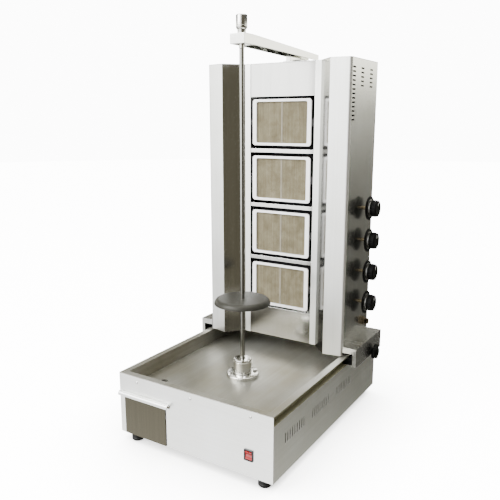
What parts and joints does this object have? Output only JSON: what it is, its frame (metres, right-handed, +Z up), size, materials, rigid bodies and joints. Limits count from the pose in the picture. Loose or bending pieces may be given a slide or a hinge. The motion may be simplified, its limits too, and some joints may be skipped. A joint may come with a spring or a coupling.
{
  "type": "vertical gas rotisserie",
  "caption": "Vertical gas rotisserie with a stack of ceramic burners on a sliding tower, a driven spit with a meat plate, a drip tray and a grease drawer",
  "frame": {"origin": "on the ground below the middle of the base", "axes": "+Z up, -Y towards the operator at the front, +X to the operator's right"},
  "size_m": [0.642, 0.7488, 1.237],
  "materials": {
    "sheet_steel": "brushed",
    "rail_steel": "brushed, dark",
    "tray_steel": "brushed",
    "drawer_steel": "polished",
    "turned_steel": "polished",
    "plate_steel": "polished",
    "bolt_steel": "satin",
    "pipe_steel": "satin",
    "frame_white": "enamelled",
    "tile_ceramic": "matte, perforated",
    "brass": "satin",
    "copper": "satin",
    "motor_grey": "satin",
    "foot_rubber": "matte",
    "switch_black": "gloss",
    "rocker_red": "gloss",
    "knob_black": "satin",
    "black_plastic": "satin",
    "slider_nylon": "matte"
  },
  "bodies": {
    "base": {"base_front": "sheet_steel", "base_left": "sheet_steel", "base_right": "sheet_steel", "base_back": "sheet_steel", "base_floor": "sheet_steel", "rail_left": "rail_steel", "rail_right": "rail_steel", "drip_tray": "tray_steel", "drawer_runners": "sheet_steel", "feet": "foot_rubber", "switch_bezel": "switch_black", "gear_motor": "motor_grey", "motor_bracket": "sheet_steel", "bearing_housing": "turned_steel", "housing_bolts": "bolt_steel", "panel_screws": "bolt_steel", "cable_gland": "black_plastic"},
    "spit": {"drive_shaft": "turned_steel", "drive_socket": "turned_steel", "spit_rod": "turned_steel"},
    "plate": {"plate_collar": "turned_steel", "meat_plate": "plate_steel"},
    "drawer": {"drawer_box": "sheet_steel", "drawer_face": "drawer_steel"},
    "rocker": {"rocker": "rocker_red"},
    "tower": {"carriage": "sheet_steel", "carriage_sliders": "slider_nylon", "tower_left": "sheet_steel", "tower_right": "sheet_steel", "tower_back": "sheet_steel", "tower_top_cover": "sheet_steel", "wing_left": "sheet_steel", "wing_right": "sheet_steel", "burner_panel": "sheet_steel", "burner_housing_1": "frame_white", "burner_housing_2": "frame_white", "burner_housing_3": "frame_white", "burner_housing_4": "frame_white", "burner_tiles_1": "tile_ceramic", "burner_tiles_2": "tile_ceramic", "burner_tiles_3": "tile_ceramic", "burner_tiles_4": "tile_ceramic", "mixer_tubes": "pipe_steel", "gas_manifold": "pipe_steel", "gas_valves": "brass", "feed_pipes": "copper", "inlet_fitting": "brass", "arm_guide": "sheet_steel"},
    "arm": {"top_arm": "sheet_steel"},
    "pin": {"top_pin": "turned_steel"},
    "lock_knob_left": {"lock_knob_left": "black_plastic"},
    "lock_knob_right": {"lock_knob_right": "black_plastic"},
    "knob_1": {"valve_stem_1": "brass", "gas_knob_1": "knob_black"},
    "knob_2": {"valve_stem_2": "brass", "gas_knob_2": "knob_black"},
    "knob_3": {"valve_stem_3": "brass", "gas_knob_3": "knob_black"},
    "knob_4": {"valve_stem_4": "brass", "gas_knob_4": "knob_black"}
  },
  "joints": [
    {"name": "tower_slide", "type": "slide", "parent": "base", "child": "tower", "axis": [0, 1, 0], "range_m": [-0.08, 0.038]},
    {"name": "arm_slide", "type": "slide", "parent": "tower", "child": "arm", "axis": [0, 1, 0], "range_m": [-0.038, 0.08]},
    {"name": "pin_lift", "type": "slide", "parent": "arm", "child": "pin", "axis": [0, 0, 1], "range_m": [0, 0.028]},
    {"name": "spit_spin", "type": "hinge", "parent": "base", "child": "spit", "pos_m": [0, -0.092, 0.2], "axis": [0, 0, 1], "continuous": true},
    {"name": "plate_slide", "type": "slide", "parent": "spit", "child": "plate", "axis": [0, 0, 1], "range_m": [-0.15, 0.7]},
    {"name": "drawer_slide", "type": "slide", "parent": "base", "child": "drawer", "axis": [0, -1, 0], "range_m": [0, 0.25]},
    {"name": "rocker_tilt", "type": "hinge", "parent": "base", "child": "rocker", "pos_m": [0.191, -0.353, 0.09], "axis": [-1, 0, 0], "range_deg": [0, 16]},
    {"name": "knob_1_turn", "type": "hinge", "parent": "tower", "child": "knob_1", "pos_m": [0.27, 0.235, 0.6785], "axis": [1, 0, 0], "range_deg": [0, 210]},
    {"name": "knob_2_turn", "type": "hinge", "parent": "tower", "child": "knob_2", "pos_m": [0.27, 0.235, 0.575], "axis": [1, 0, 0], "range_deg": [0, 210]},
    {"name": "knob_3_turn", "type": "hinge", "parent": "tower", "child": "knob_3", "pos_m": [0.27, 0.235, 0.4715], "axis": [1, 0, 0], "range_deg": [0, 210]},
    {"name": "knob_4_turn", "type": "hinge", "parent": "tower", "child": "knob_4", "pos_m": [0.27, 0.235, 0.368], "axis": [1, 0, 0], "range_deg": [0, 210]},
    {"name": "lock_knob_right_turn", "type": "hinge", "parent": "tower", "child": "lock_knob_right", "pos_m": [0.298, 0.24, 0.2], "axis": [1, 0, 0], "range_deg": [0, 360]},
    {"name": "lock_knob_left_turn", "type": "hinge", "parent": "tower", "child": "lock_knob_left", "pos_m": [-0.298, 0.24, 0.2], "axis": [-1, 0, 0], "range_deg": [0, 360]}
  ],
  "couplings": [
    {"joint": "arm_slide", "follows": "tower_slide", "ratio": -1}
  ]
}
